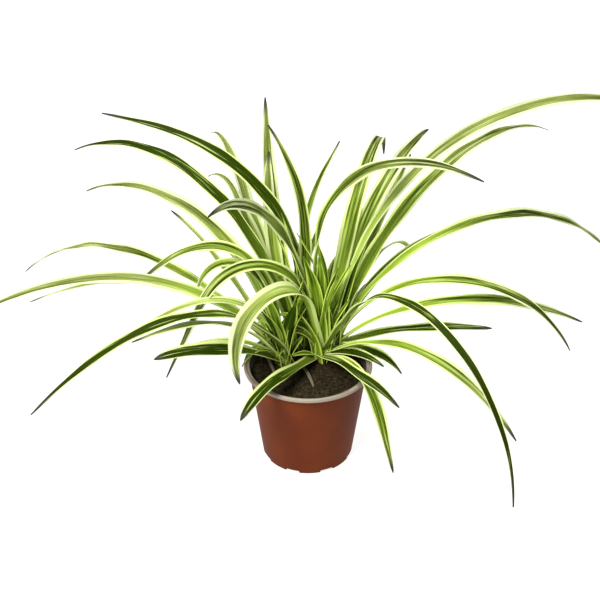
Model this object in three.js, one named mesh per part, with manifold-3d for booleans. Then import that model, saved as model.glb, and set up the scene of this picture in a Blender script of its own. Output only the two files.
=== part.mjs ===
// Potted spider plant: a young variegated plant of four crowns in a thin moulded nursery pot.
// Millimetres, +Z up, origin at the centre of the pot's flat underside.
// Seen from the front, +X is to the right and +Y is away from the viewer.

import * as THREE from "three";
import { mergeVertices } from "three/addons/utils/BufferGeometryUtils.js";
import Module from "manifold-3d";

const wasm = await Module();
wasm.setup();

// Driving sizes of the pot
const POT_HEIGHT = 98;
const RIM_RADIUS = 60;
const RIM_HEIGHT = 3.4;
const RIM_WIDTH = 4.6;
const BASE_RADIUS = 42.7;
const BASE_CORNER = 2.2;
const POT_WALL = 1.3;
const RIM_WALL = 2.2;
const LIP_RADIUS = 1;
const LIP_STEP = 0.5;
const POT_FACETS = 48;
const DRAIN_SLOTS = 8;
const DRAIN_WIDTH = 13.5;
const DRAIN_HEIGHT = 3.2;
const DRAIN_INNER_RADIUS = 33;
const FIRST_DRAIN_ANGLE = 250;

// Driving sizes of the soil
const SOIL_EDGE_HEIGHT = 86.5;
const SOIL_MOUND = 2.4;
const SOIL_LUMP = 0.7;
const LONG_LUMP = 20;
const SHORT_LUMP = 8;
const SOIL_RINGS = 6;
const SOIL_FACETS = 48;

// Driving sizes shared by the crowns and the leaves
const GAP = 0.3;
const SAME_POINT = 0.0001;
const CROWN_RADIUS = 9;
const CROWN_DEPTH = 18;
const CROWN_FACETS = 24;
const CROWN_RINGS = 7;
const CROWN_FOOT_BEVEL = 1;
const YOUNG_LEAF_DEPTH = 3;
const LEAF_GAP = 0.6;
const BLADE_THICKNESS = 0.8;
const STEP_LENGTH = 21;
const FEWEST_STEPS = 6;
const SUBSTEPS = 10;
const FOOT_WIDTH = 0.42;
const WIDEST_FROM = 0.35;

// How late a blade narrows to its tip: a higher power gives a blunter outline
const TAPER_POWER = { slender: 2.8, even: 4.5, keeled: 5, blunt: 9 };

const TIP_HALF_WIDTH = 0.5;
const FOOT_FOLD = 48;
const TIP_FOLD = 12;
const UNFOLD_POWER = 0.45;
const ROLLED_BY = 0.6;

// How high on the crown's dome a leaf is seated, in degrees above its rim
const TIER = { inner: 70, upper: 50, lower: 32, outer: 15 };

// Each crown: its place, and the height of its dome's centre
const CROWNS = {
  front: { x: 11, y: 22, z: 90 },
  left: { x: -23, y: 14, z: 90 },
  back: { x: -8, y: 41, z: 94 },
  right: { x: 24.5, y: 34.5, z: 95 },
};

// Each long leaf, as: tier and bearing of its seat on the crown, azimuth, length, slope at the foot
// and slope at the tip in degrees above level, where along the leaf the bend is centred and how much
// of the leaf it takes, sideways sweep and roll at the tip in degrees, greatest width and outline.
const LEAVES = {
  front: [
    ["outer", 104, 205, 290, 80, -39, 0.85, 1.55, 47, -65, 15, "even"],
    ["inner", 168, 209, 285, 77, -66, 0.45, 0.55, -37, -50, 13, "slender"],
    ["upper", 238, 237, 225, 77, -102, 0.58, 0.85, -26, -25, 17, "blunt"],
    ["outer", 220, 240, 135, 14, -31, 0.8, 0.8, 0, -5, 14, "blunt"],
    ["lower", 256, 284, 140, 33, -50, 0.8, 1.8, 34, -10, 14, "blunt"],
    ["outer", 298, 309, 155, 30, -58, 0.36, 0.7, -13, -15, 15, "keeled"],
    ["outer", 340, 318, 69, 39, -26, 0.55, 1.15, 20, -5, 13, "blunt"],
    ["lower", 340, 321, 235, 39, -51, 0.55, 1.15, 3, 15, 13, "keeled"],
    ["upper", 0, 289, 410, 53, -94, 0.65, 1, 24, 20, 10, "slender"],
    ["inner", 48, 346, 312, 93, -22, 0.65, 0.85, -4, 30, 16, "even"],
  ],
  left: [
    ["upper", 106, 149, 310, 88, -43, 0.52, 1.55, -5, -20, 17, "slender"],
    ["outer", 60, 142, 180, 44, 12, 0.9, 0.9, 2, 15, 9.5, "blunt"],
    ["outer", 124, 155, 355, 57, -58, 0.51, 1.7, -11, 0, 15, "keeled"],
    ["upper", 158, 185, 320, 95, -33, 0.28, 1.7, -13, -65, 13, "slender"],
    ["lower", 202, 185, 290, 87, -31, 0.3, 1.4, -33, -10, 7, "even"],
    ["inner", 256, 158, 222, 82, -38, 0.55, 0.7, 19, -15, 13, "blunt"],
    ["inner", 190, 154, 177, 80, -103, 0.7, 0.8, 36, -30, 11, "even"],
    ["outer", 340, 219, 308, 83, -33, 0.37, 1.45, -3, -10, 14.5, "slender"],
    ["upper", 218, 193, 184, 85, -19, 0.42, 1, 13, -25, 8, "even"],
    ["outer", 258, 222, 197, 61, 2, 0.47, 1.15, -2, 0, 11, "even"],
    ["lower", 172, 186, 91, 63, -15, 0.3, 1.45, -10, -10, 8, "slender"],
    ["outer", 204, 210, 126, 39, -29, 0.6, 1.5, -29, -15, 18, "blunt"],
  ],
  back: [
    ["inner", 152, 173, 330, 95, 2, 0.49, 1, -16, -40, 15, "slender"],
    ["upper", 224, 157, 340, 68, -40, 0.65, 1.15, -10, -20, 13.5, "even"],
    ["upper", 38, 66, 237, 94, 9, 0.53, 0.6, 7, 10, 7.5, "slender"],
    ["inner", 18, 107, 222, 95, 48, 0.67, 0.7, 35, -5, 13, "even"],
    ["upper", 130, 121, 230, 63, 76, 0.7, 1.2, -25, -5, 15, "even"],
    ["lower", 204, 133, 185, 63, 65, 0.35, 1.8, -50, 5, 16, "even"],
    ["outer", 132, 127, 250, 52, -34, 0.85, 0.5, -15, 10, 16, "even"],
    ["outer", 96, 114, 173, 23, 51, 0.35, 0.5, 7, 0, 15, "even"],
    ["lower", 130, 128, 194, 54, -47, 0.9, 0.3, 9, 5, 14, "even"],
    ["outer", 46, 85, 85, 31, -60, 0.8, 1.6, 8, -20, 13, "even"],
    ["lower", 86, 104, 130, 88, -82, 0.3, 1.8, -31, 20, 12, "even"],
    ["upper", 76, 84, 70, 69, 84, 0.85, 0.4, 39, -10, 10, "even"],
  ],
  right: [
    ["outer", 280, 337, 74, 16, -65, 0.7, 1.45, 0, 0, 14, "even"],
    ["upper", 338, 342, 285, 95, -75, 0.44, 1.7, 22, 25, 12, "keeled"],
    ["lower", 342, 342, 268, 74, -33, 0.3, 1.55, 44, 35, 12, "keeled"],
    ["outer", 342, 12, 152, 20, -5, 0.25, 1.1, -7, 10, 12, "blunt"],
    ["upper", 26, 9, 440, 94, -46, 0.3, 1.3, 33, 25, 14, "keeled"],
    ["lower", 28, 34, 160, 59, 13, 0.45, 0.9, 0, 20, 11, "keeled"],
    ["outer", 48, 50, 66, 56, 38, 0.25, 1.45, -1, -10, 10, "blunt"],
    ["outer", 84, 52, 189, 52, -68, 0.65, 1.25, 10, -35, 11, "even"],
    ["upper", 264, 12, 440, 86, -39, 0.6, 1.45, 1, 55, 12, "keeled"],
    ["inner", 20, 22, 375, 71, -36, 0.58, 1.25, 30, 10, 18, "slender"],
    ["upper", 98, 44, 273, 75, -16, 0.6, 1.1, 23, 30, 15.5, "even"],
    ["outer", 222, 59, 321, 74, -81, 0.7, 1.25, 25, 5, 18, "slender"],
    ["lower", 86, 55, 205, 62, 34, 0.3, 0.8, 7, -15, 15, "even"],
    ["lower", 156, 99, 107, 84, -98, 0.95, 1.9, -37, -30, 13, "even"],
    ["outer", 142, 85, 70, 60, -50, 0.5, 1.3, 10, -20, 12, "even"],
  ],
};

// Short young leaves that stay one piece with their crown, as: seat height on the dome in degrees,
// azimuth, length, slope at the foot, slope at the tip and width.
const YOUNG_LEAVES = {
  front: [
    [72, 310, 34, 88, 75, 7],
    [22, 215, 30, 40, 5, 7],
    [15, 262, 26, 15, -10, 5],
  ],
  left: [
    [62, 20, 34, 84, 60, 9],
    [22, 262, 45, 70, 10, 7],
    [15, 235, 30, 12, -8, 5],
  ],
  back: [
    [55, 290, 55, 86, 75, 9],
  ],
  right: [],
};

// Finishes
const POT_PLASTIC = { color: 0x7a3c24, roughness: 0.5, metalness: 0 };
const PEAT = { color: 0x30281f, roughness: 1, metalness: 0 };
const CROWN_GREEN = { color: 0x7f9a45, roughness: 0.6, metalness: 0 };
const LEAF_GREEN = { color: 0x6f9030, roughness: 0.45, metalness: 0 };

const radians = THREE.MathUtils.degToRad;

// Solid from a closed mesh, for joining and cutting
function solidOf(geometry) {
  const bare = geometry.clone();
  for (const extra of ["normal", "uv"]) {
    if (bare.getAttribute(extra)) {
      bare.deleteAttribute(extra);
    }
  }
  const merged = mergeVertices(bare, SAME_POINT);
  return new wasm.Manifold(new wasm.Mesh({
    numProp: 3,
    vertProperties: new Float32Array(merged.getAttribute("position").array),
    triVerts: new Uint32Array(merged.getIndex().array),
  }));
}

// Mesh geometry from a solid
function geometryOf(solid) {
  const mesh = solid.getMesh();
  const geometry = new THREE.BufferGeometry();
  geometry.setAttribute("position", new THREE.BufferAttribute(new Float32Array(mesh.vertProperties), 3));
  geometry.setIndex(new THREE.BufferAttribute(new Uint32Array(mesh.triVerts), 1));
  geometry.computeVertexNormals();
  return geometry;
}

// Geometry from plain lists of points and triangles
function geometryFrom(points, triangles) {
  const geometry = new THREE.BufferGeometry();
  geometry.setAttribute("position", new THREE.Float32BufferAttribute(points.flatMap((p) => p.toArray()), 3));
  geometry.setIndex(triangles.flat());
  geometry.computeVertexNormals();
  return geometry;
}

// Turned body: the profile runs from the axis, below, out and up, and back to the axis or itself
function turned(profile, facets) {
  const geometry = new THREE.LatheGeometry(profile.map(([r, z]) => new THREE.Vector2(r, z)), facets);
  geometry.rotateX(Math.PI / 2);
  return geometry;
}

// Outer radius of the pot at a height below the rim
function potRadius(z) {
  const underRim = RIM_RADIUS - RIM_WIDTH;
  return BASE_RADIUS + (underRim - BASE_RADIUS) * z / (POT_HEIGHT - RIM_HEIGHT);
}

// Points of a quarter round or other arc of a profile
function arc(centreR, centreZ, radius, fromDegrees, toDegrees, steps) {
  const points = [];
  for (let i = 0; i <= steps; i += 1) {
    const angle = radians(fromDegrees + (toDegrees - fromDegrees) * i / steps);
    points.push([centreR + radius * Math.cos(angle), centreZ + radius * Math.sin(angle)]);
  }
  return points;
}

// The pot: a thin wall that steps out to a collar at the rim, with drain slots around the corner
// of its base
function makePot() {
  const cornerR = potRadius(BASE_CORNER) - BASE_CORNER;
  const rimBottom = POT_HEIGHT - RIM_HEIGHT;
  const ledge = rimBottom + POT_WALL;
  const collarRadius = RIM_RADIUS - RIM_WALL;
  const innerRadius = potRadius(ledge) - POT_WALL;
  const profile = [
    [0, 0],
    ...arc(cornerR, BASE_CORNER, BASE_CORNER, -90, 0, 4),
    [potRadius(rimBottom), rimBottom],
    [RIM_RADIUS - LIP_STEP, rimBottom],
    ...arc(RIM_RADIUS - LIP_RADIUS, POT_HEIGHT - LIP_RADIUS, LIP_RADIUS, 0, 90, 3),
    [collarRadius + LIP_STEP, POT_HEIGHT],
    [collarRadius, POT_HEIGHT - LIP_STEP],
    [collarRadius, ledge],
    [innerRadius + LIP_STEP, ledge],
    [innerRadius, ledge - LIP_STEP],
    [potRadius(BASE_CORNER) - POT_WALL, BASE_CORNER],
    ...arc(cornerR, BASE_CORNER, BASE_CORNER - POT_WALL, -30, -90, 3),
    [0, POT_WALL],
  ];
  let pot = solidOf(turned(profile, POT_FACETS));
  const reach = RIM_RADIUS - DRAIN_INNER_RADIUS;
  for (let i = 0; i < DRAIN_SLOTS; i += 1) {
    const slot = new THREE.BoxGeometry(reach, DRAIN_WIDTH, 2 * DRAIN_HEIGHT);
    slot.translate(DRAIN_INNER_RADIUS + reach / 2, 0, 0);
    slot.rotateZ(radians(FIRST_DRAIN_ANGLE + 360 * i / DRAIN_SLOTS));
    pot = pot.subtract(solidOf(slot));
  }
  return geometryOf(pot);
}

// Height of the soil's lumpy surface at a place
function soilHeight(x, y, share) {
  const wide = Math.sin(2 * Math.PI * x / LONG_LUMP) * Math.cos(2 * Math.PI * y / LONG_LUMP);
  const small = Math.sin(2 * Math.PI * (y - x) / SHORT_LUMP) / 2;
  const lumps = SOIL_LUMP * (wide + small) * (1 - share);
  return SOIL_EDGE_HEIGHT + SOIL_MOUND * (1 - share * share) + lumps;
}

// The soil fills the pot and has a plain hole for each crown
function makeSoil() {
  const floorZ = POT_WALL + GAP;
  const wallRadius = (z) => potRadius(z) - POT_WALL - GAP;
  const levels = [
    [potRadius(BASE_CORNER) - BASE_CORNER - GAP, floorZ],
    [wallRadius(BASE_CORNER + 1), BASE_CORNER + 1],
    [wallRadius(SOIL_EDGE_HEIGHT), SOIL_EDGE_HEIGHT],
  ];
  const points = [new THREE.Vector3(0, 0, floorZ)];
  const facetAngle = (i) => 2 * Math.PI * i / SOIL_FACETS;
  for (const [radius, z] of levels) {
    for (let i = 0; i < SOIL_FACETS; i += 1) {
      const angle = facetAngle(i);
      points.push(new THREE.Vector3(radius * Math.cos(angle), radius * Math.sin(angle), z));
    }
  }
  const edge = wallRadius(SOIL_EDGE_HEIGHT);
  for (let ring = SOIL_RINGS - 1; ring > 0; ring -= 1) {
    const share = ring / SOIL_RINGS;
    for (let i = 0; i < SOIL_FACETS; i += 1) {
      const x = edge * share * Math.cos(facetAngle(i));
      const y = edge * share * Math.sin(facetAngle(i));
      points.push(new THREE.Vector3(x, y, soilHeight(x, y, share)));
    }
  }
  points.push(new THREE.Vector3(0, 0, soilHeight(0, 0, 0)));
  const triangles = [];
  const rings = levels.length + SOIL_RINGS - 1;
  const index = (ring, i) => 1 + ring * SOIL_FACETS + (i % SOIL_FACETS);
  for (let i = 0; i < SOIL_FACETS; i += 1) {
    triangles.push([0, index(0, i + 1), index(0, i)]);
    for (let ring = 0; ring < rings - 1; ring += 1) {
      triangles.push([index(ring, i), index(ring, i + 1), index(ring + 1, i + 1)]);
      triangles.push([index(ring, i), index(ring + 1, i + 1), index(ring + 1, i)]);
    }
    triangles.push([index(rings - 1, i), index(rings - 1, i + 1), points.length - 1]);
  }
  let soil = solidOf(geometryFrom(points, triangles));
  const holeDepth = CROWN_DEPTH + GAP;
  const holeRadius = CROWN_RADIUS + GAP;
  for (const { x, y, z } of Object.values(CROWNS)) {
    const hole = new THREE.CylinderGeometry(holeRadius, holeRadius, 2 * holeDepth, CROWN_FACETS);
    hole.rotateX(Math.PI / 2);
    hole.translate(x, y, z);
    soil = soil.subtract(solidOf(hole));
  }
  return geometryOf(soil);
}

// Smooth step from 0 to 1
function ease(x) {
  const t = Math.min(Math.max(x, 0), 1);
  return t * t * (3 - 2 * t);
}

// Directions of a leaf at a share of its length: along it, across it, and out of its upper face
function leafAxes(leaf, share) {
  const bend = ease((share - (leaf.bendAt - leaf.bendSpan / 2)) / leaf.bendSpan);
  const tilt = radians(leaf.rise + (leaf.fall - leaf.rise) * bend);
  const turn = radians(leaf.azimuth + leaf.sweep * share);
  const along = new THREE.Vector3(
    Math.cos(tilt) * Math.cos(turn), Math.cos(tilt) * Math.sin(turn), Math.sin(tilt));
  const level = new THREE.Vector3(-Math.sin(turn), Math.cos(turn), 0);
  const upper = new THREE.Vector3().crossVectors(along, level);
  const roll = radians(leaf.roll * ease(share / ROLLED_BY));
  const across = level.clone().multiplyScalar(Math.cos(roll)).addScaledVector(upper, Math.sin(roll));
  const out = new THREE.Vector3().crossVectors(along, across);
  return { along, across, out };
}

// Half of the blade's width at a share of its length
function halfWidth(leaf, share) {
  const growth = FOOT_WIDTH + (1 - FOOT_WIDTH) * ease(share / WIDEST_FROM);
  const taper = 1 - share ** TAPER_POWER[leaf.outline];
  return TIP_HALF_WIDTH + (leaf.width / 2 - TIP_HALF_WIDTH) * growth * taper;
}

// A leaf is a folded blade on a midrib that bends by its rule. Its foot is cut to the crown's dome,
// and its places are taken from the centre of that dome.
function leafSolid(leaf) {
  const steps = Math.max(FEWEST_STEPS, Math.round(leaf.length / STEP_LENGTH));
  const rib = leaf.foot.clone();
  const points = [];
  for (let step = 0; step <= steps; step += 1) {
    const share = step / steps;
    const { along, across, out } = leafAxes(leaf, share);
    const fold = radians(FOOT_FOLD + (TIP_FOLD - FOOT_FOLD) * share ** UNFOLD_POWER);
    const half = halfWidth(leaf, share);
    const sideways = half * Math.cos(fold);
    const raised = half * Math.sin(fold);
    const depth = BLADE_THICKNESS / Math.cos(fold);
    const section = [
      [sideways, raised], [0, 0], [-sideways, raised],
      [-sideways, raised - depth], [0, -depth], [sideways, raised - depth],
    ];
    for (const [side, up] of section) {
      const point = rib.clone().addScaledVector(across, side).addScaledVector(out, up);
      points.push(step === 0 ? slidToDome(point, along, leaf) : point);
    }
    for (let part = 0; part < SUBSTEPS; part += 1) {
      const middle = share + (part + 0.5) / (steps * SUBSTEPS);
      rib.addScaledVector(leafAxes(leaf, middle).along, leaf.length / (steps * SUBSTEPS));
    }
  }
  const corners = 6;
  const triangles = [];
  for (let step = 0; step < steps; step += 1) {
    for (let corner = 0; corner < corners; corner += 1) {
      const next = (corner + 1) % corners;
      const a = step * corners + corner;
      const b = step * corners + next;
      triangles.push([a, b, b + corners]);
      triangles.push([a, b + corners, a + corners]);
    }
  }
  const last = steps * corners;
  for (const [a, b, c] of [[0, 4, 1], [0, 5, 4], [1, 4, 3], [1, 3, 2]]) {
    triangles.push([a, b, c]);
    triangles.push([last + a, last + c, last + b]);
  }
  return geometryFrom(points, triangles);
}

// A foot's corner, slid along the leaf until it lies on the leaf's own sphere about the crown
function slidToDome(point, along, leaf) {
  const reach = point.dot(along);
  const miss = point.lengthSq() - reach * reach;
  const inside = Math.max(leaf.seatRadius ** 2 - miss, 0);
  return point.clone().addScaledVector(along, Math.sqrt(inside) - reach);
}

// Point on a sphere about a crown's centre
function domePoint(radius, elevation, azimuth) {
  const up = radians(elevation);
  const turn = radians(azimuth);
  return new THREE.Vector3(
    radius * Math.cos(up) * Math.cos(turn), radius * Math.cos(up) * Math.sin(turn), radius * Math.sin(up));
}

// One leaf of the table, seated on its crown
function longLeaf(row) {
  const [tier, bearing, azimuth, length, rise, fall, bendAt, bendSpan, sweep, roll, width, outline] = row;
  const seatRadius = CROWN_RADIUS + LEAF_GAP;
  const foot = domePoint(seatRadius, TIER[tier], bearing);
  const bends = { azimuth, length, rise, fall, bendAt, bendSpan, sweep, roll };
  return { ...bends, width, outline, seatRadius, foot };
}

// One short young leaf, rooted inside the dome
function youngLeaf(row) {
  const [seat, azimuth, length, rise, fall, width] = row;
  const seatRadius = CROWN_RADIUS - YOUNG_LEAF_DEPTH;
  const foot = domePoint(seatRadius, seat, azimuth);
  const plain = { bendAt: 0.5, bendSpan: 1, sweep: 0, roll: 0, outline: "even" };
  return { azimuth, length, rise, fall, width, seatRadius, foot, ...plain };
}

// A crown: the clasped feet of the leaves as a dome on a stem in the soil, with its young leaves
function makeCrown(youngLeaves) {
  const profile = [
    [0, -CROWN_DEPTH],
    [CROWN_RADIUS - CROWN_FOOT_BEVEL, -CROWN_DEPTH],
    ...arc(0, 0, CROWN_RADIUS, 0, 90, CROWN_RINGS),
  ];
  profile[profile.length - 1][0] = 0;
  let crown = solidOf(turned(profile, CROWN_FACETS));
  for (const row of youngLeaves) {
    crown = crown.add(solidOf(leafSolid(youngLeaf(row))));
  }
  return geometryOf(crown);
}

// Mesh of one piece, with its name and its own material
function piece(name, geometry, finish) {
  const mesh = new THREE.Mesh(geometry, new THREE.MeshStandardMaterial(finish));
  mesh.name = name;
  return mesh;
}

const plant = new THREE.Group();
plant.add(piece("pot", makePot(), POT_PLASTIC));
plant.add(piece("soil", makeSoil(), PEAT));
for (const [place, { x, y, z }] of Object.entries(CROWNS)) {
  const tuft = new THREE.Group();
  tuft.position.set(x, y, z);
  tuft.add(piece(`crown_${place}`, makeCrown(YOUNG_LEAVES[place]), CROWN_GREEN));
  LEAVES[place].forEach((row, i) => {
    tuft.add(piece(`leaf_${place}_${i + 1}`, leafSolid(longLeaf(row)), LEAF_GREEN));
  });
  plant.add(tuft);
}

export default plant;
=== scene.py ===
"""Potted spider plant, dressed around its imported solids.

A moulded nursery pot with a pale rim holds dark peat, four crowns of clasped leaf bases and long
arching blades with a green middle and cream margins. Lengths in the tables and in the classes'
fields are millimetres and angles are degrees, as in the part's source, unless a docstring says
otherwise. Everything in Blender is in metres, +Z up.
"""

from __future__ import annotations

import logging
import math
import random
from collections.abc import Callable
from dataclasses import dataclass, field
from enum import Enum, IntEnum

import bmesh
import bpy
from mathutils import Matrix, Vector, noise


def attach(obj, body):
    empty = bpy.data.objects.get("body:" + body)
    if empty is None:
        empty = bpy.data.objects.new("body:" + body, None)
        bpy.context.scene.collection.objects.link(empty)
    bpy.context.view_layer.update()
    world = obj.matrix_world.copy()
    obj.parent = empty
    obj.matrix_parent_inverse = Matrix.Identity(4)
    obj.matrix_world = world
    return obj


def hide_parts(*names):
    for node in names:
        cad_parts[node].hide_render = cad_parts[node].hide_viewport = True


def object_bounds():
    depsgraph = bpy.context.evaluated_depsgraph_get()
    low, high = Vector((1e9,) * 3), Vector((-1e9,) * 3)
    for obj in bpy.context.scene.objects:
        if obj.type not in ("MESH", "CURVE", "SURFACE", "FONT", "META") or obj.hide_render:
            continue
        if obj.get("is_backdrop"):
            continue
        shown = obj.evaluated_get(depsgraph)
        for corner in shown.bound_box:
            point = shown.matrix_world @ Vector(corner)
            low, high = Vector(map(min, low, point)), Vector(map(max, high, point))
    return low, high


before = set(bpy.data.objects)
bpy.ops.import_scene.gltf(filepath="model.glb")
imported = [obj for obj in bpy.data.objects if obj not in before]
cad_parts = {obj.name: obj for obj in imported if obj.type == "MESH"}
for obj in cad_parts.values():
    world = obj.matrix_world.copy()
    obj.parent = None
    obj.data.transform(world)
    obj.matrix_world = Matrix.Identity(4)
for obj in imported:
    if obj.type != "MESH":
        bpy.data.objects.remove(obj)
CAD_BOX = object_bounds()

LOG = logging.getLogger("spider_plant")
MM = 0.001
CM2_PER_M2 = 10000
BODY = "root"

Point = tuple[float, float, float]


# Colours and nodes

def linear(hex_colour: str) -> tuple[float, float, float, float]:
    """Turns an sRGB colour into linear light.

    Args:
        hex_colour: Six hexadecimal digits.

    Returns:
        Linear red, green, blue and an alpha of 1.
    """
    parts = [int(hex_colour[i:i + 2], 16) / 255 for i in (0, 2, 4)]
    bent = [c / 12.92 if c <= 0.04045 else ((c + 0.055) / 1.055) ** 2.4 for c in parts]
    return (bent[0], bent[1], bent[2], 1.0)


def plug(tree: bpy.types.NodeTree, node: bpy.types.Node, inputs: dict) -> None:
    """Sets or links a node's inputs.

    Args:
        tree: The tree that holds the node.
        node: The node.
        inputs: Values, output sockets or nodes, by the name or number of the input. A node stands
            for its first output in use.
    """
    for key, value in inputs.items():
        if isinstance(key, int):
            socket = node.inputs[key]
        else:
            socket = next(s for s in node.inputs if s.name == key and s.enabled)
        if isinstance(value, bpy.types.Node):
            value = next(s for s in value.outputs if s.enabled)
        if isinstance(value, bpy.types.NodeSocket):
            tree.links.new(value, socket)
        else:
            socket.default_value = value


def add_node(tree: bpy.types.NodeTree, kind: str, inputs: dict | None = None,
             **settings: object) -> bpy.types.Node:
    """Adds a node with its settings, values and links.

    Args:
        tree: The tree that gets the node.
        kind: Blender's name for the node's type.
        inputs: What goes into its inputs, as plug takes it.
        settings: Properties of the node.

    Returns:
        The new node.
    """
    node = tree.nodes.new(kind)
    for key, value in settings.items():
        setattr(node, key, value)
    plug(tree, node, inputs or {})
    return node


def new_material(name: str) -> tuple[bpy.types.Material, bpy.types.NodeTree, bpy.types.Node]:
    """Makes a material with one Principled shader.

    Args:
        name: The name of the material.

    Returns:
        The material, its tree and the shader.
    """
    material = bpy.data.materials.new(name)
    material.use_nodes = True
    tree = material.node_tree
    return material, tree, tree.nodes["Principled BSDF"]


def new_tree(name: str, result: str,
             inputs: dict[str, str]) -> tuple[bpy.types.NodeTree, bpy.types.NodeOutputs]:
    """Makes a geometry node tree with named inputs and one result.

    Args:
        name: The name of the tree.
        result: The kind of its output, which is also that output's name.
        inputs: The kind of each input, by the input's name.

    Returns:
        The tree and the sockets that its inputs come in by.
    """
    tree = bpy.data.node_groups.new(name, "GeometryNodeTree")
    tree.interface.new_socket(result, in_out="OUTPUT", socket_type=f"NodeSocket{result}")
    for title, kind in inputs.items():
        tree.interface.new_socket(title, in_out="INPUT", socket_type=f"NodeSocket{kind}")
    return tree, tree.nodes.new("NodeGroupInput").outputs


# Meshes and objects

def new_object(name: str, data: bpy.types.ID) -> bpy.types.Object:
    """Puts a mesh, a camera or a light into the scene as an object at the origin.

    Args:
        name: The name of the object.
        data: The mesh, camera or light.

    Returns:
        The object.
    """
    item = bpy.data.objects.new(name, data)
    bpy.context.scene.collection.objects.link(item)
    return item


def finished_mesh(name: str, shape: bmesh.types.BMesh) -> bpy.types.Mesh:
    """Makes a mesh of an edited shape, which is freed.

    Args:
        name: The name of the mesh.
        shape: The edited shape.

    Returns:
        The mesh.
    """
    mesh = bpy.data.meshes.new(name)
    shape.to_mesh(mesh)
    shape.free()
    return mesh


def circle(radius: float, facets: int, height: Callable[[float], float]) -> list[Point]:
    """Gives the points of a ring about the upright axis, or one point for a radius of 0.

    Args:
        radius: The ring's radius, in millimetres.
        facets: How many points go round.
        height: Gives the height in millimetres for an angle in radians.

    Returns:
        Points in metres.
    """
    turns = [2 * math.pi * i / facets for i in range(facets if radius else 1)]
    return [(radius * MM * math.cos(t), radius * MM * math.sin(t), height(t) * MM) for t in turns]


def banded_mesh(name: str, rings: list[list[Point]], skins: list[int]) -> bpy.types.Mesh:
    """Joins rings of points with bands of smooth faces into a closed mesh.

    Args:
        name: The name of the mesh.
        rings: The rings in order. The first and the last are single points.
        skins: The material number of the band after each ring.

    Returns:
        The mesh, with outward faces.
    """
    shape = bmesh.new()
    loops = [[shape.verts.new(point) for point in ring] for ring in rings]
    for low, high, skin in zip(loops, loops[1:], skins):
        facets = max(len(low), len(high))
        for i in range(facets):
            j = (i + 1) % facets
            corners = [low[i % len(low)], low[j % len(low)],
                       high[j % len(high)], high[i % len(high)]]
            face = shape.faces.new(dict.fromkeys(corners))
            face.smooth = True
            face.material_index = skin
    bmesh.ops.recalc_face_normals(shape, faces=shape.faces)
    return finished_mesh(name, shape)


def settle(piece: bpy.types.Object) -> None:
    """Turns what a piece's modifiers make into its own plain mesh.

    Args:
        piece: The object, whose modifiers are removed.
    """
    bpy.context.view_layer.update()
    graph = bpy.context.evaluated_depsgraph_get()
    mesh = bpy.data.meshes.new_from_object(piece.evaluated_get(graph), depsgraph=graph)
    piece.modifiers.clear()
    old = piece.data
    piece.data = mesh
    bpy.data.meshes.remove(old)
    mesh.name = piece.name


def grow_by_tree(piece: bpy.types.Object, tree: bpy.types.NodeTree, values: dict) -> None:
    """Runs a node tree on a piece and keeps the result as its plain mesh.

    Args:
        piece: The object.
        tree: The node tree.
        values: What goes into the tree's inputs, by name.
    """
    grower = piece.modifiers.new(tree.name, "NODES")
    grower.node_group = tree
    for item in tree.interface.items_tree:
        if item.in_out == "INPUT" and item.name in values:
            grower[item.identifier] = values[item.name]
    settle(piece)


def declare(piece: bpy.types.Object, slot: str, *nodes: str) -> None:
    """Says what a finished piece rides on and stands for.

    Args:
        piece: The finished object.
        slot: The name of a material slot; it is not used.
        nodes: The CAD nodes that the piece replaces.
    """
    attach(piece, BODY)
    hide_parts(*nodes)
    LOG.info("%s replaces %s, %d faces", piece.name, ", ".join(nodes), len(piece.data.polygons))


# Finishes

@dataclass(frozen=True)
class LeafPattern:
    """Sizes of the pattern on a leaf: its lines, its wavering margins, its foot and far part.

    A share along the leaf runs from 0 at the foot to 1 at the tip. A share across runs from 0 at
    the midrib to 1 at the edge. A name that ends in mm is a length on the leaf.
    """

    line_mm: float = 2.2
    line_run_mm: float = 70.0
    line_contrast: float = 3.4
    stripe_from: float = 0.58
    stripe_full: float = 0.66
    stripe_weight: float = 0.4
    waver_mm: float = 8.333
    waver_run_mm: float = 33.33
    waver_share: float = 0.3
    lean_run_mm: float = 130.0
    lean_seed: float = 1.7
    lean_share: float = 0.8
    margin_by_tone: float = -0.2
    margin_blur: float = 0.14
    near_mm: float = 145.0
    far_mm: float = 315.0
    far_by_tone_mm: float = 150.0
    far_share: float = 0.7
    foot_to: float = 0.5
    foot_weight: float = 0.8
    foot_tone: float = 0.6
    dry_full: float = 0.985
    satin_spread: float = 0.08
    vein_strength: float = 0.35
    vein_mm: float = 0.4
    light_depth_mm: float = 2.0


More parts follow.
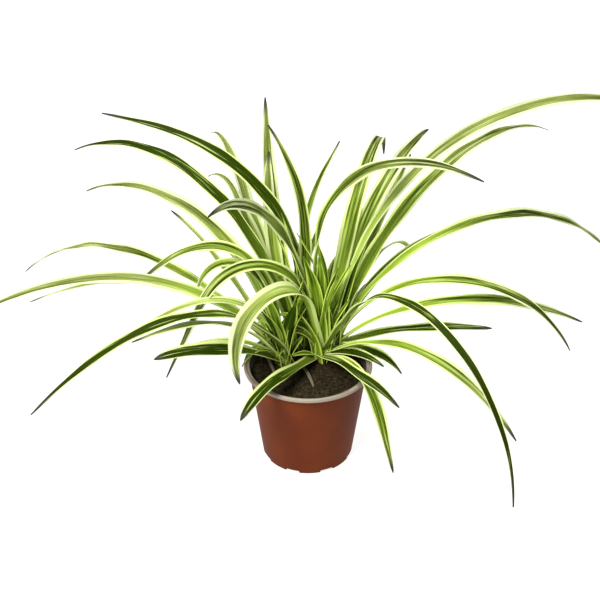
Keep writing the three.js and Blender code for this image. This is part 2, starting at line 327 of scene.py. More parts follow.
@dataclass(frozen=True)
class LeafSkin:
    """Skin of a spider plant's leaf: smooth, waxy and finely lined along its length.

    The middle is green with darker and lighter lines and now and then a pale stripe, and the
    margins are cream. A fresh leaf has a bright foot, and outwards every colour goes over to its
    far one, the sooner the fresher the leaf is, up to the dry tip. The leaf's tone, which says how
    fresh it is, is also partly painted light and shade: a leaf that catches the light has a
    lighter tone.
    """

    name: str
    deep: str
    fresh: str
    far_deep: str
    far_fresh: str
    margin: str
    far_margin: str
    foot: str
    tip: str
    roughness: float
    margin_from: float = 0.86
    dry_from: float = 0.9
    pattern: LeafPattern = LeafPattern()

    def build(self) -> bpy.types.Material:
        """Builds the material, which reads the blade's own two attributes.

        Returns:
            The material.
        """
        use = self.pattern
        material, tree, shader = new_material(self.name)
        place = add_node(tree, "ShaderNodeAttribute", attribute_name="blade_place")
        measure = add_node(tree, "ShaderNodeAttribute", attribute_name="blade_size")
        size = measure.outputs["Vector"]
        side, share, tone = add_node(
            tree, "ShaderNodeSeparateXYZ", {0: place.outputs["Vector"]}).outputs
        along = add_node(tree, "ShaderNodeSeparateXYZ", {0: size}).outputs["Y"]
        lines, waver, lean = (add_node(tree, "ShaderNodeTexNoise", {
            "Vector": add_node(tree, "ShaderNodeVectorMath", {0: size, 1: per_mm},
                               operation="MULTIPLY"),
            "Scale": 1.0, "Detail": detail, "Roughness": roughness,
        }) for per_mm, detail, roughness in (
            ((1 / use.line_mm, 1 / use.line_run_mm, 1.0), 3.0, 0.6),
            ((1 / use.waver_mm, 1 / use.waver_run_mm, 1.0), 2.0, 0.5),
            ((0.0, 1 / use.lean_run_mm, use.lean_seed), 1.0, 0.5)))

        # The cream margins, with an inner edge that leans to one side and wavers.
        leant = add_node(tree, "ShaderNodeMath", {
            0: lean, 1: use.lean_share, 2: -use.lean_share / 2}, operation="MULTIPLY_ADD")
        from_middle = add_node(tree, "ShaderNodeMath", {0: side, 1: leant}, operation="ADD")
        away = add_node(tree, "ShaderNodeMath", {0: from_middle}, operation="ABSOLUTE")
        wavered = add_node(tree, "ShaderNodeMath", {0: waver, 1: use.waver_share, 2: away},
                           operation="MULTIPLY_ADD")
        narrow = add_node(tree, "ShaderNodeMath", {
            0: tone, 1: use.margin_by_tone, 2: self.margin_from}, operation="MULTIPLY_ADD")
        wide = add_node(tree, "ShaderNodeMath", {0: narrow, 1: use.margin_blur}, operation="ADD")
        cream = add_node(tree, "ShaderNodeMapRange", {
            "Value": wavered, "From Min": narrow, "From Max": wide,
        }, interpolation_type="SMOOTHSTEP")

        # The light and dark lines of the green, all made lighter or darker by the leaf's tone,
        # which is partly painted light and shade, and the pale stripes where a line is lightest.
        lit = add_node(tree, "ShaderNodeMath", {
            0: lines, 1: use.line_contrast, 2: -use.line_contrast / 2}, operation="MULTIPLY_ADD")
        lit_by_tone = add_node(tree, "ShaderNodeMath", {0: lit, 1: tone}, operation="ADD",
                               use_clamp=True)
        stripe = add_node(tree, "ShaderNodeMapRange", {
            "Value": lines, "From Min": use.stripe_from, "From Max": use.stripe_full,
            "To Max": use.stripe_weight,
        }, interpolation_type="SMOOTHSTEP")
        pale = add_node(tree, "ShaderNodeMath", {0: cream, 1: stripe}, operation="MAXIMUM")

        # The far colours, by millimetres from the foot or by share of the length.
        reached = add_node(tree, "ShaderNodeMath", {0: tone, 1: use.far_by_tone_mm, 2: along},
                           operation="MULTIPLY_ADD")
        by_length = add_node(tree, "ShaderNodeMapRange", {
            "Value": reached, "From Min": use.near_mm, "From Max": use.far_mm,
        }, interpolation_type="SMOOTHSTEP")
        by_share = add_node(tree, "ShaderNodeMapRange", {
            "Value": share, "From Min": use.far_share}, interpolation_type="SMOOTHSTEP")
        outward = add_node(tree, "ShaderNodeMath", {0: by_length, 1: by_share},
                           operation="MAXIMUM")
        deep, fresh, margin = (add_node(tree, "ShaderNodeMix", {
            "Factor": outward, "A": linear(near), "B": linear(far),
        }, data_type="RGBA") for near, far in (
            (self.deep, self.far_deep), (self.fresh, self.far_fresh),
            (self.margin, self.far_margin)))

        # The fresh foot and the tip.
        near_foot = add_node(tree, "ShaderNodeMapRange", {
            "Value": share, "From Max": use.foot_to, "To Min": use.foot_weight, "To Max": 0.0,
        }, interpolation_type="SMOOTHSTEP")
        by_tone = add_node(tree, "ShaderNodeMath", {0: tone, 1: use.foot_tone}, operation="ADD",
                           use_clamp=True)
        fresh_foot = add_node(tree, "ShaderNodeMath", {0: near_foot, 1: by_tone},
                              operation="MULTIPLY")
        near_tip = add_node(tree, "ShaderNodeMapRange", {
            "Value": share, "From Min": self.dry_from, "From Max": use.dry_full,
        }, interpolation_type="SMOOTHSTEP")

        # Each colour laid over the one before, and the lines in the shine and the relief.
        colour = deep
        for factor, over in ((lit_by_tone, fresh), (fresh_foot, linear(self.foot)),
                             (pale, margin), (near_tip, linear(self.tip))):
            colour = add_node(tree, "ShaderNodeMix", {"Factor": factor, "A": colour, "B": over},
                              data_type="RGBA")
        satin = add_node(tree, "ShaderNodeMapRange", {
            "Value": lines, "To Min": self.roughness - use.satin_spread,
            "To Max": self.roughness + use.satin_spread,
        })
        veins = add_node(tree, "ShaderNodeBump", {
            "Height": lines, "Strength": use.vein_strength, "Distance": use.vein_mm * MM})
        plug(tree, shader, {
            "Base Color": colour, "Roughness": satin, "Normal": veins, "IOR": 1.45,
            "Specular IOR Level": 0.04, "Subsurface Weight": 0.1,
            "Subsurface Radius": (0.5, 1.0, 0.2), "Subsurface Scale": use.light_depth_mm * MM,
        })
        return material


@dataclass(frozen=True)
class MouldedPlastic:
    """Injection-moulded polypropylene with faint flow clouds, worn spots and a fine grain."""

    name: str
    colour: str
    worn: str
    roughness: float
    cloud_mm: float = 45.45
    cloud_from: float = 0.35
    cloud_full: float = 0.75
    smoother: float = 0.08
    duller: float = 0.1
    grain_mm: float = 1.111
    grain_depth_mm: float = 0.1
    grain_strength: float = 0.12

    def build(self) -> bpy.types.Material:
        """Builds the material on Object coordinates.

        Returns:
            The material.
        """
        material, tree, shader = new_material(self.name)
        at = add_node(tree, "ShaderNodeTexCoord").outputs["Object"]
        clouds = add_node(tree, "ShaderNodeTexNoise", {
            "Vector": at, "Scale": 1 / (self.cloud_mm * MM), "Detail": 4.0, "Roughness": 0.55})
        grain = add_node(tree, "ShaderNodeTexNoise", {
            "Vector": at, "Scale": 1 / (self.grain_mm * MM), "Detail": 2.0})
        share = add_node(tree, "ShaderNodeMapRange", {
            "Value": clouds, "From Min": self.cloud_from, "From Max": self.cloud_full,
        }, interpolation_type="SMOOTHSTEP")
        colour = add_node(tree, "ShaderNodeMix", {
            "Factor": share, "A": linear(self.colour), "B": linear(self.worn)}, data_type="RGBA")
        satin = add_node(tree, "ShaderNodeMapRange", {
            "Value": clouds, "To Min": self.roughness - self.smoother,
            "To Max": self.roughness + self.duller,
        })
        bump = add_node(tree, "ShaderNodeBump", {
            "Height": grain, "Strength": self.grain_strength,
            "Distance": self.grain_depth_mm * MM,
        })
        plug(tree, shader, {
            "Base Color": colour, "Roughness": satin, "Normal": bump, "IOR": 1.49,
            "Specular IOR Level": 0.1,
        })
        return material


@dataclass(frozen=True)
class Peat:
    """Milled peat with fibre, moist: crumbs of two browns with a rough broken surface."""

    name: str
    wet: str
    dry: str
    crumb_mm: float = 3.846
    crumb_depth_mm: float = 0.8
    crumb_strength: float = 0.8
    dry_from: float = 0.42
    dry_full: float = 0.72

    def build(self) -> bpy.types.Material:
        """Builds the material on Object coordinates.

        Returns:
            The material.
        """
        material, tree, shader = new_material(self.name)
        crumbs = add_node(tree, "ShaderNodeTexNoise", {
            "Vector": add_node(tree, "ShaderNodeTexCoord").outputs["Object"],
            "Scale": 1 / (self.crumb_mm * MM), "Detail": 6.0, "Roughness": 0.7,
        })
        share = add_node(tree, "ShaderNodeMapRange", {
            "Value": crumbs, "From Min": self.dry_from, "From Max": self.dry_full})
        colour = add_node(tree, "ShaderNodeMix", {
            "Factor": share, "A": linear(self.wet), "B": linear(self.dry)}, data_type="RGBA")
        bump = add_node(tree, "ShaderNodeBump", {
            "Height": crumbs, "Strength": self.crumb_strength,
            "Distance": self.crumb_depth_mm * MM,
        })
        plug(tree, shader, {
            "Base Color": colour, "Roughness": 0.95, "Normal": bump, "Specular IOR Level": 0.1})
        return material


# A living leaf under a thin coat of wax: satin, softly lit through, without sharp glints. Its real
# lines are under half a millimetre apart, too fine to show, so they are drawn 2.2 mm apart.
UPPER_SKIN = LeafSkin(
    "spider_plant_leaf_upper", deep="223200", fresh="8EA83A", far_deep="1E2800",
    far_fresh="7E8A48", margin="C0CC82", far_margin="BAC29A", foot="A2C040", tip="34322A",
    roughness=0.5)
# The leaf's underside has less wax: a little duller, with the same lines showing through.
UNDER_SKIN = LeafSkin(
    "spider_plant_leaf_underside", deep="2C3C0A", fresh="8AA440", far_deep="263404",
    far_fresh="768C34", margin="C2D480", far_margin="C4D684", foot="9CB83C", tip="34322A",
    roughness=0.6)
# A sheath is a young leaf's clasping base: thin and juicy, a yellower green with a narrow pale
# edge, and still green at its tip.
SHEATH_SKIN = LeafSkin(
    "leaf_sheath", deep="2E4606", fresh="88A82C", far_deep="2E4606", far_fresh="88A82C",
    margin="C4D862", far_margin="C4D862", foot="7C9E1E", tip="56701E", roughness=0.55,
    margin_from=0.96)
# A dead scrap of leaf: dry, brown grey and matt, with its lines left.
DRY_SKIN = LeafSkin(
    "dry_leaf_scrap", deep="4A4436", fresh="6E6654", far_deep="4A4436", far_fresh="6E6654",
    margin="7A7260", far_margin="7A7260", foot="5A5242", tip="3E382C", roughness=0.85)
# Polypropylene coloured through and moulded against a satin tool: an even brown red, slightly
# clouded, with a broad soft shine. The tool's real grain is about 0.1 mm and is drawn ten times as
# coarse, so that it softens the shine.
TERRACOTTA = MouldedPlastic("terracotta_polypropylene", "56230A", "622A0E", 0.6)
# The same plastic in pale grey, rubbed a little smoother at the rim.
PALE_GREY = MouldedPlastic("pale_grey_polypropylene", "83796E", "91877B", 0.45)
# The grey inside of the pot, dulled and darkened by peat dust, and darker still with painted
# shade, as falls inside the pot below the rim.
DUSTY_SHADED_GREY = MouldedPlastic("dusty_shaded_grey_polypropylene", "4A443B", "5C554A", 0.6)
# Milled peat, moist: nearly black and quite matt, with lighter crumbs where it has dried.
DARK_PEAT = Peat("moist_peat", "1B170E", "443927")


# The plant's tables, as in the part's source

class Tier(Enum):
    """How high on a crown's dome a leaf is seated, in degrees above its rim."""

    INNER = 70
    UPPER = 50
    LOWER = 32
    OUTER = 15


class Tone(Enum):
    """How fresh the green of a leaf is, from old and deep to young and bright. The tones are
    partly painted light and shade as well: a leaf that catches the light is given a lighter tone,
    and a shaded leaf a darker one.
    """

    DEEP = -0.15
    MIDDLE = 0.36
    LIGHT = 0.5
    BRIGHT = 0.8


@dataclass(frozen=True)
class BladeForm:
    """How a blade's outline runs.

    The foot's width is a share of the greatest width, its fold is how steeply its two halves
    rise in degrees, and the taper's power says how late the blade narrows to its tip.
    """

    foot_share: float
    foot_fold: float
    taper: float


class Outline(Enum):
    """The outlines of the long leaves, the young leaves and the sheaths."""

    SLENDER = BladeForm(0.85, 36, 2.8)
    EVEN = BladeForm(0.9, 36, 4.5)
    KEELED = BladeForm(0.5, 50, 5.0)
    BLUNT = BladeForm(0.85, 36, 9.0)
    YOUNG = BladeForm(0.9, 34, 2.4)
    SHEATH = BladeForm(1.0, 30, 5.0)


@dataclass(frozen=True)
class YoungLeaf:
    """One short leaf, sheath or dry scrap that is one piece with its crown.

    The seat and the bearing are where its foot is on the dome, and the reach is how far that is
    from the dome's centre. The azimuth is where it heads, and the rise and the fall are its
    slopes at the foot and at the tip.
    """

    seat: float
    bearing: float
    azimuth: float
    length: float
    rise: float
    fall: float
    width: float
    outline: Outline = Outline.YOUNG
    tone: Tone = Tone.LIGHT
    reach: float = 5.0
    dry: bool = False
    bend_at: float = 0.5
    bend_span: float = 1.0
    sweep: float = 0.0
    roll: float = 0.0


@dataclass(frozen=True)
class Leaf:
    """One long leaf, with the same sizes as a young one.

    The bend is the share of the length where the slope changes most and how much of the length
    the change takes. The sweep is how far the heading turns, and the roll turns the face.
    """

    tier: Tier
    bearing: float
    azimuth: float
    length: float
    rise: float
    fall: float
    bend_at: float
    bend_span: float
    sweep: float
    roll: float
    width: float
    outline: Outline
    tone: Tone = Tone.MIDDLE


@dataclass(frozen=True)
class Sheaths:
    """The short broad leaf bases that clasp a crown."""

    count: int
    length: float
    rise: float
    fall: float
    width: float


@dataclass(frozen=True)
class SheathRing:
    """One of the two rings that a crown's sheaths alternate between.

    The shortest and longest are shares of the crown's sheath length.
    """

    seat: float
    reach: float
    shortest: float
    longest: float
    more_rise: float
    more_fall: float


SHEATH_RINGS = (SheathRing(-25, 7.5, 0.5, 0.9, 0, 0), SheathRing(20, 5.5, 1.0, 1.4, 4, 8))

CROWNS = {
    "front": Vector((11, 22, 90)),
    "left": Vector((-23, 14, 90)),
    "back": Vector((-8, 41, 94)),
    "right": Vector((24.5, 34.5, 95)),
}

INNER, UPPER, LOWER, OUTER = Tier.INNER, Tier.UPPER, Tier.LOWER, Tier.OUTER
DEEP, LIGHT, BRIGHT = Tone.DEEP, Tone.LIGHT, Tone.BRIGHT
SLENDER, EVEN, KEELED, BLUNT = Outline.SLENDER, Outline.EVEN, Outline.KEELED, Outline.BLUNT

# Each leaf's tone is partly its freshness and partly painted light and shade: lighter for a leaf
# that catches the light, darker for a shaded one.
LEAVES = {
    "front": (
        Leaf(OUTER, 104, 205, 290, 80, -39, 0.85, 1.55, 47, -65, 15, EVEN),
        Leaf(INNER, 168, 209, 285, 77, -66, 0.45, 0.55, -37, -50, 13, SLENDER),
        Leaf(UPPER, 238, 237, 225, 77, -102, 0.58, 0.85, -26, -25, 17, BLUNT, BRIGHT),
        Leaf(OUTER, 220, 240, 135, 14, -31, 0.8, 0.8, 0, -5, 14, BLUNT, DEEP),
        Leaf(LOWER, 256, 284, 140, 33, -50, 0.8, 1.8, 34, -10, 14, BLUNT, DEEP),
        Leaf(OUTER, 298, 309, 155, 30, -58, 0.36, 0.7, -13, -15, 15, KEELED),
        Leaf(OUTER, 340, 318, 69, 39, -26, 0.55, 1.15, 20, -5, 13, BLUNT, DEEP),
        Leaf(LOWER, 340, 321, 235, 39, -51, 0.55, 1.15, 3, 15, 13, KEELED, LIGHT),
        Leaf(UPPER, 0, 289, 410, 53, -94, 0.65, 1, 24, 20, 10, SLENDER, DEEP),
        Leaf(INNER, 48, 346, 312, 93, -22, 0.65, 0.85, -4, 30, 16, EVEN),
    ),
    "left": (
        Leaf(UPPER, 106, 149, 310, 88, -43, 0.52, 1.55, -5, -20, 17, SLENDER, BRIGHT),
        Leaf(OUTER, 60, 142, 180, 44, 12, 0.9, 0.9, 2, 15, 9.5, BLUNT, BRIGHT),
        Leaf(OUTER, 124, 155, 355, 57, -58, 0.51, 1.7, -11, 0, 15, KEELED, LIGHT),
        Leaf(UPPER, 158, 185, 320, 95, -33, 0.28, 1.7, -13, -65, 13, SLENDER, BRIGHT),
        Leaf(LOWER, 202, 185, 290, 87, -31, 0.3, 1.4, -33, -10, 7, EVEN, BRIGHT),
        Leaf(INNER, 256, 158, 222, 82, -38, 0.55, 0.7, 19, -15, 13, BLUNT),
        Leaf(INNER, 190, 154, 177, 80, -103, 0.7, 0.8, 36, -30, 11, EVEN, LIGHT),
        Leaf(OUTER, 340, 219, 308, 83, -33, 0.37, 1.45, -3, -10, 14.5, SLENDER, DEEP),
        Leaf(UPPER, 218, 193, 184, 85, -19, 0.42, 1, 13, -25, 8, EVEN, BRIGHT),
        Leaf(OUTER, 258, 222, 197, 61, 2, 0.47, 1.15, -2, 0, 11, EVEN, BRIGHT),
        Leaf(LOWER, 172, 186, 91, 63, -15, 0.3, 1.45, -10, -10, 8, SLENDER, BRIGHT),
        Leaf(OUTER, 204, 210, 126, 39, -29, 0.6, 1.5, -29, -15, 18, BLUNT, DEEP),
    ),
    "back": (
        Leaf(INNER, 152, 173, 330, 95, 2, 0.49, 1, -16, -40, 15, SLENDER, DEEP),
        Leaf(UPPER, 224, 157, 340, 68, -40, 0.65, 1.15, -10, -20, 13.5, EVEN, DEEP),
        Leaf(UPPER, 38, 66, 237, 94, 9, 0.53, 0.6, 7, 10, 7.5, SLENDER),
        Leaf(INNER, 18, 107, 222, 95, 48, 0.67, 0.7, 35, -5, 13, EVEN),
        Leaf(UPPER, 130, 121, 230, 63, 76, 0.7, 1.2, -25, -5, 15, EVEN, LIGHT),
        Leaf(LOWER, 204, 133, 185, 63, 65, 0.35, 1.8, -50, 5, 16, EVEN, BRIGHT),
        Leaf(OUTER, 132, 127, 250, 52, -34, 0.85, 0.5, -15, 10, 16, EVEN, BRIGHT),
        Leaf(OUTER, 96, 114, 173, 23, 51, 0.35, 0.5, 7, 0, 15, EVEN, LIGHT),
        Leaf(LOWER, 130, 128, 194, 54, -47, 0.9, 0.3, 9, 5, 14, EVEN, BRIGHT),
        Leaf(OUTER, 46, 85, 85, 31, -60, 0.8, 1.6, 8, -20, 13, EVEN),
        Leaf(LOWER, 86, 104, 130, 88, -82, 0.3, 1.8, -31, 20, 12, EVEN),
        Leaf(UPPER, 76, 84, 70, 69, 84, 0.85, 0.4, 39, -10, 10, EVEN),
    ),
    "right": (
        Leaf(OUTER, 280, 337, 74, 16, -65, 0.7, 1.45, 0, 0, 14, EVEN, DEEP),
        Leaf(UPPER, 338, 342, 285, 95, -75, 0.44, 1.7, 22, 25, 12, KEELED),
        Leaf(LOWER, 342, 342, 268, 74, -33, 0.3, 1.55, 44, 35, 12, KEELED),
        Leaf(OUTER, 342, 12, 152, 20, -5, 0.25, 1.1, -7, 10, 12, BLUNT, DEEP),
        Leaf(UPPER, 26, 9, 440, 94, -46, 0.3, 1.3, 33, 25, 14, KEELED),
        Leaf(LOWER, 28, 34, 160, 59, 13, 0.45, 0.9, 0, 20, 11, KEELED, LIGHT),
        Leaf(OUTER, 48, 50, 66, 56, 38, 0.25, 1.45, -1, -10, 10, BLUNT, LIGHT),
        Leaf(OUTER, 84, 52, 189, 52, -68, 0.65, 1.25, 10, -35, 11, EVEN, BRIGHT),
        Leaf(UPPER, 264, 12, 440, 86, -39, 0.6, 1.45, 1, 55, 12, KEELED, BRIGHT),
        Leaf(INNER, 20, 22, 375, 71, -36, 0.58, 1.25, 30, 10, 18, SLENDER),
        Leaf(UPPER, 98, 44, 273, 75, -16, 0.6, 1.1, 23, 30, 15.5, EVEN, LIGHT),
        Leaf(OUTER, 222, 59, 321, 74, -81, 0.7, 1.25, 25, 5, 18, SLENDER),
        Leaf(LOWER, 86, 55, 205, 62, 34, 0.3, 0.8, 7, -15, 15, EVEN, LIGHT),
        Leaf(LOWER, 156, 99, 107, 84, -98, 0.95, 1.9, -37, -30, 13, EVEN),
        Leaf(OUTER, 142, 85, 70, 60, -50, 0.5, 1.3, 10, -20, 12, EVEN),
    ),
}

YOUNG_LEAVES = {
    "front": (
        YoungLeaf(72, 310, 310, 34, 88, 75, 7),
        YoungLeaf(22, 215, 215, 30, 40, 5, 8),
        YoungLeaf(-3, 225, 286, 37, 14, -12, 3, reach=22, dry=True),
        YoungLeaf(55, 190, 178, 92, 90, -38, 9),
        YoungLeaf(45, 205, 186, 84, 86, -42, 8),
        YoungLeaf(35, 215, 192, 74, 80, -40, 7),
        YoungLeaf(50, 195, 184, 98, 82, -88, 4),
        YoungLeaf(5, 245, 240, 128, 92, 64, 20),
        YoungLeaf(5, 290, 255, 118, 92, 76, 18),
        YoungLeaf(0, 320, 320, 98, 90, 72, 17, tone=BRIGHT),
    ),
    "left": (
        YoungLeaf(62, 20, 20, 34, 84, 60, 9),
        YoungLeaf(22, 262, 262, 45, 70, 10, 7),
        YoungLeaf(-2, 140, 286, 45, 10, -8, 3, reach=24, dry=True),
        YoungLeaf(40, 200, 200, 50, 60, -60, 4),
        YoungLeaf(5, 300, 300, 80, 86, 66, 24, tone=DEEP),
        YoungLeaf(5, 340, 350, 96, 88, 74, 20, tone=DEEP),
        YoungLeaf(5, 215, 220, 90, 84, 52, 20, tone=DEEP),
        YoungLeaf(5, 250, 235, 100, 86, 60, 16, tone=LIGHT),
    ),
    "back": (
        YoungLeaf(55, 290, 290, 55, 86, 75, 9),
    ),
    "right": (),
}

SHEATHS = {
    "front": Sheaths(9, 80, 84, 62, 13),
    "left": Sheaths(8, 62, 82, 60, 13),
    "back": Sheaths(7, 105, 86, 70, 13),
    "right": Sheaths(8, 95, 84, 62, 13),
}


# Leaf blades by rule

BLADE_INPUTS = {
    "Foot": "Vector", "Rows": "Int",
    **dict.fromkeys((
        "Length", "Azimuth", "Rise", "Fall", "Bend From", "Bend To", "Sweep", "Roll",
        "Half Width", "Foot Share", "Foot Fold", "Taper", "Wave", "Seed", "Tone"), "Float"),
    "Skin": "Material",
}


def turn_group() -> bpy.types.NodeTree:
    """Builds the group that gives a leaf's turn in space at a share of its length.

    Returns:
        The group.
    """
    tree, given = new_tree("leaf_turn", "Rotation", dict.fromkeys((
        "Share", "Azimuth", "Rise", "Fall", "Bend From", "Bend To", "Sweep", "Roll",
        "Rolled By"), "Float"))
    tilt = add_node(tree, "ShaderNodeMapRange", {
        "Value": given["Share"], "From Min": given["Bend From"], "From Max": given["Bend To"],
        "To Min": given["Rise"], "To Max": given["Fall"],
    }, interpolation_type="SMOOTHSTEP")
    down = add_node(tree, "ShaderNodeMath", {0: tilt, 1: -1.0}, operation="MULTIPLY")
    heading = add_node(tree, "ShaderNodeMath", {
        0: given["Sweep"], 1: given["Share"], 2: given["Azimuth"]}, operation="MULTIPLY_ADD")
    rolled = add_node(tree, "ShaderNodeMapRange", {
        "Value": given["Share"], "From Max": given["Rolled By"], "To Max": given["Roll"],
    }, interpolation_type="SMOOTHSTEP")
    euler = add_node(tree, "ShaderNodeCombineXYZ", {"X": rolled, "Y": down, "Z": heading})
    turn = add_node(tree, "FunctionNodeEulerToRotation", {0: euler})
    add_node(tree, "NodeGroupOutput", {"Rotation": turn})
    return tree


@dataclass
class BladeTree:
    """The node tree that grows one folded blade on a midrib that bends by its rule.

    The grid has a fixed number of columns across and a row of points per row step along. The
    unfold power says how soon the fold opens to the tip's fold, and the channel power how round
    the fold's bottom is. The blade is widest, and has all its roll, from a share of its length.
    Waves are as high as a share of the width, and the wave's lag is in radians.
    """

    columns: int = 9
    row_step: float = 5.5
    fewest_rows: int = 14
    tip_fold: float = 12
    unfold_power: float = 0.45
    channel_power: float = 1.35
    widest_from: float = 0.65
    rolled_by: float = 0.6
    tip_half_width: float = 0.5
    thickness: float = 0.6
    wave_length: float = 62
    wave_share: float = 0.07
    wave_lag: float = 1.1
    sharp_angle: float = 70
    tree: bpy.types.NodeTree = field(init=False)

    def __post_init__(self) -> None:
        """Builds the tree."""
        self.tree = self.build()

    def build(self) -> bpy.types.NodeTree:
        """Builds the tree, which walks along the midrib and spreads each row of points from it.

        Returns:
            The tree, with a named input for each size of the leaf.
        """
        tree, given = new_tree("leaf_blade", "Geometry", BLADE_INPUTS)
        grid = add_node(tree, "GeometryNodeMeshGrid", {
            "Vertices X": given["Rows"], "Vertices Y": self.columns})
        index = add_node(tree, "GeometryNodeInputIndex")
        row, column = (add_node(tree, "FunctionNodeIntegerMath", {0: index, 1: self.columns},
                                operation=operation)
                       for operation in ("DIVIDE_FLOOR", "FLOORED_MODULO"))
        steps = add_node(tree, "ShaderNodeMath", {0: given["Rows"], 1: 1.0},
                         operation="SUBTRACT")
        share = add_node(tree, "ShaderNodeMath", {0: row, 1: steps}, operation="DIVIDE")
        half_on = add_node(tree, "ShaderNodeMath", {0: row, 1: 0.5}, operation="ADD")
        middle = add_node(tree, "ShaderNodeMath", {0: half_on, 1: steps}, operation="DIVIDE")
        side = add_node(tree, "ShaderNodeMath", {
            0: column, 1: 2.0 / (self.columns - 1), 2: -1.0}, operation="MULTIPLY_ADD")
        away = add_node(tree, "ShaderNodeMath", {0: side}, operation="ABSOLUTE")
        along = add_node(tree, "ShaderNodeMath", {0: given["Length"], 1: share},
                         operation="MULTIPLY")

        # The midrib: one stride per row, each turned as the leaf is at the stride's middle.
        group = turn_group()
        rule = {title: given[title] for title in (
            "Azimuth", "Rise", "Fall", "Bend From", "Bend To", "Sweep", "Roll")}
        here, ahead = (add_node(tree, "GeometryNodeGroup", {
            "Share": at, "Rolled By": self.rolled_by, **rule,
        }, node_tree=group) for at in (share, middle))
        stride = add_node(tree, "ShaderNodeMath", {0: given["Length"], 1: steps},
                          operation="DIVIDE")
        forward = add_node(tree, "ShaderNodeCombineXYZ", {"X": stride})
        step = add_node(tree, "FunctionNodeRotateVector", {"Vector": forward, "Rotation": ahead})
        walk = add_node(tree, "GeometryNodeAccumulateField", {
            "Value": step, "Group ID": column}, data_type="FLOAT_VECTOR", domain="POINT")
        rib = add_node(tree, "ShaderNodeVectorMath", {
            0: given["Foot"], 1: walk.outputs["Trailing"]}, operation="ADD")

        # The section: half the blade's width at the row, folded up from the midrib.
        growth = add_node(tree, "ShaderNodeMapRange", {
            "Value": share, "From Max": self.widest_from, "To Min": given["Foot Share"],
        }, interpolation_type="SMOOTHSTEP")
        spent = add_node(tree, "ShaderNodeMath", {0: share, 1: given["Taper"]},
                         operation="POWER")
        left = add_node(tree, "ShaderNodeMath", {0: 1.0, 1: spent}, operation="SUBTRACT")
        shape = add_node(tree, "ShaderNodeMath", {0: growth, 1: left}, operation="MULTIPLY")
        half = add_node(tree, "ShaderNodeMath", {
            0: given["Half Width"], 1: shape, 2: self.tip_half_width * MM,
        }, operation="MULTIPLY_ADD")
        opened = add_node(tree, "ShaderNodeMath", {0: share, 1: self.unfold_power},
                          operation="POWER")
        fold = add_node(tree, "ShaderNodeMapRange", {
            "Value": opened, "To Min": given["Foot Fold"],
            "To Max": math.radians(self.tip_fold)})
        flat = add_node(tree, "ShaderNodeMath", {0: fold}, operation="COSINE")
        steep = add_node(tree, "ShaderNodeMath", {0: fold}, operation="SINE")
        reach = add_node(tree, "ShaderNodeMath", {0: half, 1: side}, operation="MULTIPLY")
        sideways = add_node(tree, "ShaderNodeMath", {0: reach, 1: flat}, operation="MULTIPLY")
        channel = add_node(tree, "ShaderNodeMath", {0: away, 1: self.channel_power},
                           operation="POWER")
        lift = add_node(tree, "ShaderNodeMath", {0: half, 1: steep}, operation="MULTIPLY")
        raised = add_node(tree, "ShaderNodeMath", {0: lift, 1: channel}, operation="MULTIPLY")

        # The waves, strongest at the edges, which run along the leaf and lag from side to side.
        phase = add_node(tree, "ShaderNodeMath", {0: side, 1: self.wave_lag, 2: given["Seed"]},
                         operation="MULTIPLY_ADD")
        ripple = add_node(tree, "ShaderNodeMath", {
            0: along, 1: 2 * math.pi / (self.wave_length * MM), 2: phase,
        }, operation="MULTIPLY_ADD")
        wave = add_node(tree, "ShaderNodeMath", {0: ripple}, operation="SINE")
        strength = add_node(tree, "ShaderNodeMath", {0: away, 1: shape}, operation="MULTIPLY")
        swing = add_node(tree, "ShaderNodeMath", {0: wave, 1: given["Wave"]},
                         operation="MULTIPLY")
        height = add_node(tree, "ShaderNodeMath", {0: swing, 1: strength, 2: raised},
                          operation="MULTIPLY_ADD")
        offset = add_node(tree, "ShaderNodeCombineXYZ", {"Y": sideways, "Z": height})
        spread = add_node(tree, "FunctionNodeRotateVector", {"Vector": offset, "Rotation": here})
        position = add_node(tree, "ShaderNodeVectorMath", {0: rib, 1: spread}, operation="ADD")

        # What the leaf's skin reads: the share across and along with the tone, and the place in
        # millimetres with the leaf's own number.
        place = add_node(tree, "ShaderNodeCombineXYZ", {"X": side, "Y": share, "Z": given["Tone"]})
        size = add_node(tree, "ShaderNodeCombineXYZ", {"X": reach, "Y": along})
        in_mm = add_node(tree, "ShaderNodeVectorMath", {0: size, "Scale": 1 / MM},
                         operation="SCALE")
        own = add_node(tree, "ShaderNodeCombineXYZ", {"Z": given["Seed"]})
        sized = add_node(tree, "ShaderNodeVectorMath", {0: in_mm, 1: own}, operation="ADD")

        shell = add_node(tree, "GeometryNodeSetPosition", {"Geometry": grid, "Position": position})
        for title, value in (("blade_place", place), ("blade_size", sized)):
            shell = add_node(tree, "GeometryNodeStoreNamedAttribute", {
                "Geometry": shell, "Name": title, "Value": value,
            }, data_type="FLOAT_VECTOR", domain="POINT")
        smooth = add_node(tree, "GeometryNodeSetShadeSmooth", {"Geometry": shell})
        real = add_node(tree, "GeometryNodeRealizeInstances", {"Geometry": smooth})
        dressed = add_node(tree, "GeometryNodeSetMaterial", {
            "Geometry": real, "Material": given["Skin"]})
        add_node(tree, "NodeGroupOutput", {"Geometry": dressed})
        return tree

